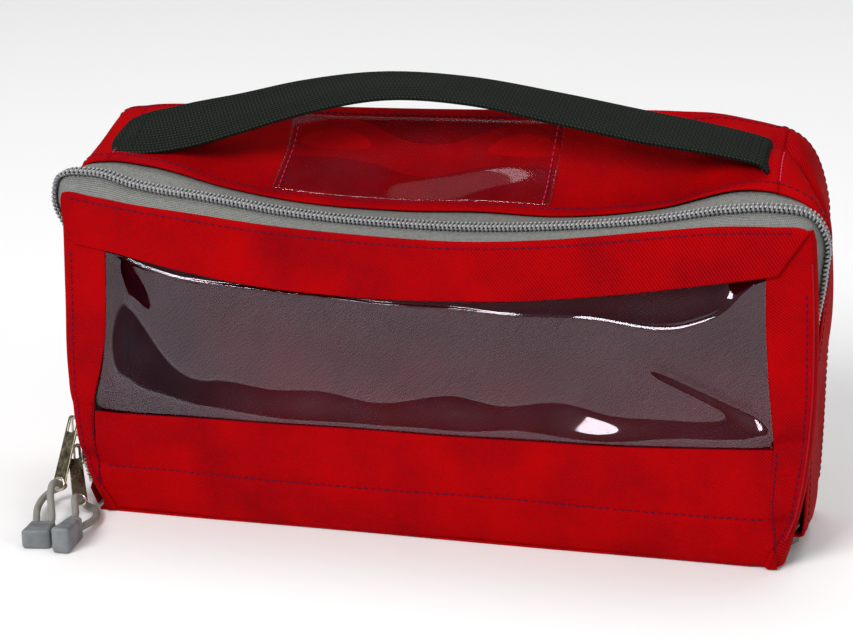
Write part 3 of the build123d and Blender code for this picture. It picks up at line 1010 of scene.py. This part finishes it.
def coil(name, side, materials):
    """A spiral of wire, flattened, with its heads towards the other coil. side is -1 in front."""
    steps, half_width, half_height, wire = 10, 2.15, 0.6, 0.5
    row_offset, lift, lean, head_growth = 2.05, 0.15, 0.45, 0.13
    place = np.arange(PLACES[0] + COIL_END, PLACES[-1] - COIL_END, COIL_PITCH / steps)
    centre = coil_line(place, CHAIN_Y + side * row_offset)
    along = unit(np.gradient(centre, axis=0))
    turn = 2 * math.pi * (np.arange(len(place)) / steps) + (0 if side < 0 else math.pi)
    inward = -side * np.cos(turn)
    path = centre.copy()
    path[:, 1] += half_width * inward
    path += (half_height * np.sin(turn) + lift)[:, None] * coil_outward(place)
    path += (lean * np.cos(turn) * COIL_PITCH / 2)[:, None] * along
    heads = np.clip(-side * inward, 0, 1) ** 3
    return tube(name, path, wire + head_growth * heads, materials["coil"], 6)


def coil_thread(name, side, materials):
    """The pale stitches that hold a coil to its tape, one to each loop."""
    place = np.arange(PLACES[0] + COIL_THREAD_END, PLACES[-1] - COIL_THREAD_END, COIL_PITCH)
    row_offset, lift = 2.15, 0.85
    centres = coil_line(place, CHAIN_Y + side * row_offset)
    outward = coil_outward(place)
    across = np.tile((0.0, 1.0, 0.0), (len(place), 1))
    return beads(name, centres + lift * outward, across, outward, (0.95, 0.5, 0.5),
                 materials["coil_thread"])


def add_chain(materials):
    folds(coil("coil_front", -1, materials), "grey_coil", "zip_coil_front",
          "zip_coil_closed_ends")
    rides(coil("coil_rear", 1, materials), "case", "grey_coil", "zip_coil_rear")
    fold_blend(coil_thread("coil_thread_front", -1, materials))
    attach(coil_thread("coil_thread_rear", 1, materials), "case")
    outline, stop_z = rounded_box(2.6, 0.7, 0.8, 6), 10.4
    stops = [plate("stop", [outline], 1.1, 0.5, materials["slider"], beside_chain(x, stop_z, side))
             for x, side in ((-148.3, -1), (143.9, 1))]
    rides(joined(stops, "end_stops"), "case", "nickel", "zip_end_stops")


# ---------------------------------------------------------------- front


def front_face(x, z):
    """Depth of the front's base surface: nearly flat, with soft pulls at the seams' ends."""
    x, z = np.asarray(x, float), np.asarray(z, float)
    y = FRONT_Y - 0.9 * (1 - (x / 155) ** 2) * np.sin(np.pi * np.clip(z, 0, 135) / 135)
    y = y - 1.3 * hump(z, 24, 13) * (1 - (x / 150) ** 4) + 1.2 * smooth_step(z, 9, 0)
    y = y + 0.35 * np.sin(x / 26.0 + z / 40) + 0.25 * np.sin(x / 11.0 - z / 19)
    # A pull at each end of the two seams: its side, height and depth
    for side, height_z, depth in ((1, 51, 2.3), (1, 19, 1.9), (-1, 44, 1.3), (-1, 22, 1.4)):
        reach = hump(x * side, 143.5, 8)
        y = y + depth * reach * hump(z - 0.25 * (x * side - 140), height_z, 3.2)
        y = y - 0.8 * reach * hump(z, height_z + 8, 5)
    return y


def band_grid(near, far, count, steps, lift):
    """A band between two edges, each given as its left x, its right x and its z at any x."""
    share = np.linspace(0, 1, count)
    near, far = (np.stack([between(share, left, right), z_at(between(share, left, right))], axis=1)
                 for left, right, z_at in (near, far))
    across = np.linspace(0, 1, steps)[None, :, None]
    points = between(across, near[:, None], far[:, None])
    y = front_face(points[..., 0], points[..., 1]) - lift
    return np.stack([points[..., 0], y, points[..., 1]], axis=2)


def add_top_band(materials):
    grid = band_grid((-144.6, 138.4, lambda x: height(WINDOW_TOP, x)),
                     (-148.6, 150.4, lambda x: np.interp(x, *FRONT_TOP)), 190, 18, 1.7)
    v = np.linspace(0, 1, grid.shape[1])[None]
    at_left = hump(np.linspace(0, 1, grid.shape[0])[:, None], 0, 0.02)
    grid[..., 0] -= 2.2 * np.sin(np.pi * v) ** 0.7 * at_left
    sag = np.sin(np.linspace(0, 1, grid.shape[0]) * 37.0)[:, None] * 0.22
    grid[..., 1] += sag * hump(v, 0.1, 0.4)
    grid[..., 1] += 0.8 * smooth_step(v, 0.9, 1.0)
    band = cloth("top_band", grid, materials["red"], thickness=1.2, rounding=0.4)
    rides(band, "flap", "red_fabric", "front_top_band")
    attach(sew("top_band_stitches", grid, np.s_[2:-4, 15], materials["thread"]), "flap")


def side_grid(side):
    """A side band: across its face, round the pouch's corner, and back to the tape."""
    edge = LEFT_EDGE if side < 0 else RIGHT_EDGE
    up = np.linspace(0, 1, 90)
    z = between(up, 0.8, 136.0)
    inner = height(edge, z)
    outer = side * np.abs(np.interp(z, *FRONT_SIDES[side]))
    radius = 2.2 + 4.3 * smooth_step(z, 24, 2)  # rounder at the foot
    rows = []
    for share in np.linspace(0, 1, 11):
        x = between(share, inner, outer - side * radius)
        rows.append((x, front_face(x, z)))
    start = front_face(outer - side * radius, z)
    for turn in np.radians((20, 40, 60, 80, 90)):
        rows.append((outer - side * radius * (1 - math.sin(turn)),
                     start + radius * (1 - math.cos(turn))))
    wrap = np.maximum(WRAP_Y - start - radius, 0.5)
    for back in (0.5, 1.0):
        rows.append((outer + side * 0.2 * back, start + radius + back * wrap))
    x, y = (np.array(values).T for values in zip(*rows))
    top = np.interp(x, *FRONT_TOP) - 0.9
    grid = np.stack([x, y - 0.3, between(up[:, None], 0.8, top)], axis=2)
    return np.swapaxes(grid if side > 0 else grid[:, ::-1], 0, 1)


def add_side_bands(materials):
    for side, label in ((-1, "left"), (1, "right")):
        grid = side_grid(side)
        band = cloth(f"side_band_{label}", grid, materials["red"], thickness=1.0, rounding=0.35)
        folds(band, "red_fabric", f"front_{label}_band")
        row, edge = (9, 1) if side > 0 else (-10, -2)
        fold_blend(sew(f"side_band_stitches_{label}", grid, np.s_[row, 3:-16],
                       materials["thread"]))
        if side > 0:
            # A thin rolled edge along the right band's outer corner; its pinker red is a painted
            # highlight
            line = (grid + 0.05 * surface_normals(grid))[11, 8:-8]
            fold_blend(tube("rolled_edge_painted_highlight", line, 0.35, materials["rolled_edge_painted_highlight"]))
        fold_blend(sew(f"foot_stitches_{label}", grid, np.s_[edge, :32], materials["thread"],
                       2.6))


def add_bottom_band(materials):
    grid = band_grid((-140.0, 141.5, lambda x: np.full(len(x), 0.7)),
                     (-141.6, 139.6, lambda x: height(WINDOW_FOOT, x)), 170, 34, 0.0)
    z = grid[..., 2]
    seam_dent = hump(z, FOLD_Z, 1.1) * 0.35
    grid[..., 1] += seam_dent + 0.7 * smooth_step(z, 2.2, 0.6)
    band = cloth("bottom_band", grid, materials["red"], thickness=1.2, rounding=0.4)
    folds(band, "red_fabric", "front_bottom_band", "front_hem")
    x = np.linspace(-137, 136, 300)
    z = FOLD_Z + 0.25 * np.sin(x / 21)
    path = np.stack([x, front_face(x, z) + 0.3, z], axis=1)
    outward = np.tile((0.0, -1.0, 0.0), (len(x), 1))
    fold_blend(stitches("hem_stitches", path, outward, materials["thread"]))


def film_depth(x, z):
    """How far the clear film stands behind the front's surface; its slopes make the reflections.

    It leans back above its foot, stands upright in the middle, and leans back again above a
    long crease under the top band."""
    foot, top = height(WINDOW_FOOT, x), height(WINDOW_TOP, x)
    v = (z - foot) / (top - foot)
    # Where the foot's lean ends and the upper lean begins, as shares of the window's height
    low_edge = 0.27 + 0.03 * np.sin(x / 19.0) + 0.02 * np.sin(x / 7.3 + 1.0)
    low_edge = low_edge + 0.5 * smooth_step(x, -92, -134) - 0.05 * hump(x, 100, 40)
    high_edge = height(FILM_CREASE, x)
    # The lean at the foot is deeper at three puckers, and the upper one at the far right
    puckers = 1.0 + 0.45 * hump(x, -49, 18) + 0.5 * hump(x, 14, 12) + 1.0 * hump(x, 68, 18)
    lean = 11.5 + 24.0 * smooth_step(x, 116, 124) * smooth_step(x, 140, 132)
    recess = 11.0 * low_edge * puckers * smooth_step(v, 0.0, low_edge)
    recess = recess - 2.0 * smooth_step(v, low_edge, high_edge - 0.02)
    recess = recess + lean * np.maximum(1.03 - high_edge, 0.05) * smooth_step(
        v, high_edge, 1.03)
    # The crease's ridge, a diagonal fold at the right, and soft ripples
    recess = recess - 0.55 * hump(v, high_edge, 0.012)
    diagonal = v - (0.535 - 0.0082 * (x - 86))
    recess = recess + 1.5 * hump(diagonal, 0, 0.04) * smooth_step(x, 80, 100)
    recess = recess + 0.4 * np.sin(x / 8.0 + 7 * v) * hump(x, -124, 9)
    return recess + 0.15 * np.sin(x / 31.0 + 5.0 * v)


def add_window(materials):
    hidden = 0.07  # share of the window's height that the film reaches behind the bands
    s, v = np.meshgrid(np.linspace(0, 1, 260), np.linspace(-hidden, 1 + hidden, 210),
                       indexing="ij")
    x = between(s, -143.5, 142.5)
    z = between(v, height(WINDOW_FOOT, x), height(WINDOW_TOP, x))
    edge = np.minimum(smooth_step(x, -142, -128), smooth_step(x, 141, 130))
    y = front_face(x, z) + 1.7 + edge * film_depth(x, z)
    grid = np.stack([x, y, z], axis=2)
    film = cloth("window_film", grid, materials["film"], thickness=0.35, rounding=0)
    rides(film, "flap", "clear_film", "front_window")


# ---------------------------------------------------------------- handle and label pocket


# The webbing's two edges, as (x, z) points
NEAR_EDGE = [(-147, 144.6), (-138, 147.6), (-124, 148.4), (-106, 151.8), (-82, 159.4),
             (-56, 168.0), (-23, 175.4), (13, 174.8), (49, 168.4), (85, 162.2), (112, 158.8),
             (126, 156.2), (133, 154.0)]
FAR_EDGE = [(-147, 150.6), (-138, 156.4), (-117, 163.0), (-90, 169.2), (-64, 175.6),
            (-30, 180.6), (7, 180.0), (44, 175.0), (80, 169.0), (108, 164.4), (124, 161.0),
            (133, 158.4)]
STRAP_NEAR_Y, STRAP_FAR_Y = -4.5, 20.5


def strap_grid(first, last):
    """The webbing's upper face: lengthwise ribs, and rounded, slightly thicker edges."""
    x = np.linspace(first, last, int(abs(last - first) / 0.9) + 1)
    near, far = height(NEAR_EDGE, x), height(FAR_EDGE, x)
    share = np.linspace(0, 1, 66)
    z = between(share[None], near[:, None], far[:, None])
    y = np.broadcast_to(between(share, STRAP_NEAR_Y, STRAP_FAR_Y), z.shape)
    ribs = 0.11 * np.abs(np.sin(math.pi * share * 16)) - 0.25 * hump(share, 0, 0.02)
    ribs = ribs - 0.25 * hump(share, 1, 0.02) + 0.12 * hump(share, 0.045, 0.02)
    bow = 0.5 * np.sin(math.pi * share)
    z = z + (ribs + bow)[None] - 2.0 * smooth_step(x, 127.5, 130.6)[:, None]
    return np.stack([np.broadcast_to(x[:, None], z.shape), y, z], axis=2)


def add_handle(materials):
    # Each half's first and last x, and the x where its bend starts and ends
    ends = {"left": (-147.0, 0.0, -140.0, -100.0), "right": (0.0, 130.6, 127.0, 96.0)}
    for label, (first, last, start, end) in ends.items():
        on_left = label == "left"
        grid = strap_grid(first, last)
        strap = cloth(f"strap_{label}", grid, materials["webbing"], thickness=1.7, rounding=0.35)
        nodes = ("handle_strap", "handle_end_left") if on_left else ("handle_end_right",)
        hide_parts(*nodes)
        pieces = [strap]
        for k, x in enumerate((-138.0, -130.5) if on_left else (125.5, 121.5)):
            row = int(np.argmin(np.abs(grid[:, 0, 0] - x)))
            pieces.append(sew(f"strap_{label}_stitches_{k + 1}", grid, np.s_[row, 2:-2],
                              materials["black_thread"], 2.6))
        for piece in pieces:
            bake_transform(piece)


def add_label_pocket(materials):
    left_x, right_x, steps_across, steps_back = -70.0, 45.0, 80, 34
    top = places(7, 18, 1.0)
    top_x = (rail("tape", top)[:, 0] + rail("back", top)[:, 0]) / 2
    place = np.linspace(*np.interp([left_x, right_x], top_x, top), steps_across)
    rows = [(t, 1.75 + 0.5 * math.sin(7 * t)) for t in np.linspace(0.1, 0.93, steps_back)]
    grid, normals = lifted(place, rows)
    ripple = 0.35 * np.sin(np.linspace(0, 9, steps_across))[:, None] * np.sin(
        np.linspace(0, 5, steps_back))[None]
    grid = grid + ripple[..., None] * normals
    pocket = cloth("pocket_film", grid, materials["pocket_film"], thickness=0.3, rounding=0)
    rides(pocket, "case", "clear_film", "label_pocket")
    for label, row in (("left", 2), ("right", -3)):
        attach(stitches(f"pocket_stitches_{label}", grid[row], normals[row],
                         materials["pink_thread"]), "case")


# ---------------------------------------------------------------- the whole


add_camera()
finishes = {
    "cord": braid_cord(),
    "grip": grip_rubber(),
    # The tab's faces are painted dark as a painted reflection; its bevels and rim are painted
    # bright as a painted highlight
    "tab": metal("nickel_tab_painted_reflection", (0.16, 0.14, 0.09), (0.11, 0.095, 0.06), 0.2),
    "tab_edge_painted_highlight": metal("nickel_edge_painted_highlight", (0.80, 0.74, 0.60), (0.55, 0.47, 0.33), 0.16),
    "slider": metal("nickel_slider", (0.66, 0.64, 0.60), (0.45, 0.43, 0.39), 0.25),
}
add_pulls(finishes)
finishes.update({
    "red": red_fabric(),
    "tape": grey_tape(),
    "coil": coil_plastic(),
    "coil_thread": thread("coil_thread", (0.55, 0.55, 0.53), (0.38, 0.38, 0.37)),
    "thread": thread("purple_thread", (0.03, 0.0, 0.012), (0.09, 0.0, 0.03)),
    "pink_thread": thread("pink_thread", (0.62, 0.03, 0.10), (0.42, 0.01, 0.05)),
    # the rolled edge's pinker red is a painted highlight
    "rolled_edge_painted_highlight": thread("rolled_edge_painted_highlight", (0.34, 0.002, 0.014), (0.20, 0.0, 0.006)),
    "black_thread": thread("black_thread", (0.004, 0.005, 0.004), (0.014, 0.017, 0.014)),
    "webbing": webbing(),
    "film": clear_film("window_film", 0.31),
    "pocket_film": clear_film("pocket_film", 0.17),
})
add_studio()
add_floor()
add_case_cloth(finishes)
add_back_and_bottom(finishes)
add_tapes(finishes)
add_chain(finishes)
add_side_bands(finishes)
add_bottom_band(finishes)
add_window(finishes)
add_top_band(finishes)
add_handle(finishes)
add_label_pocket(finishes)
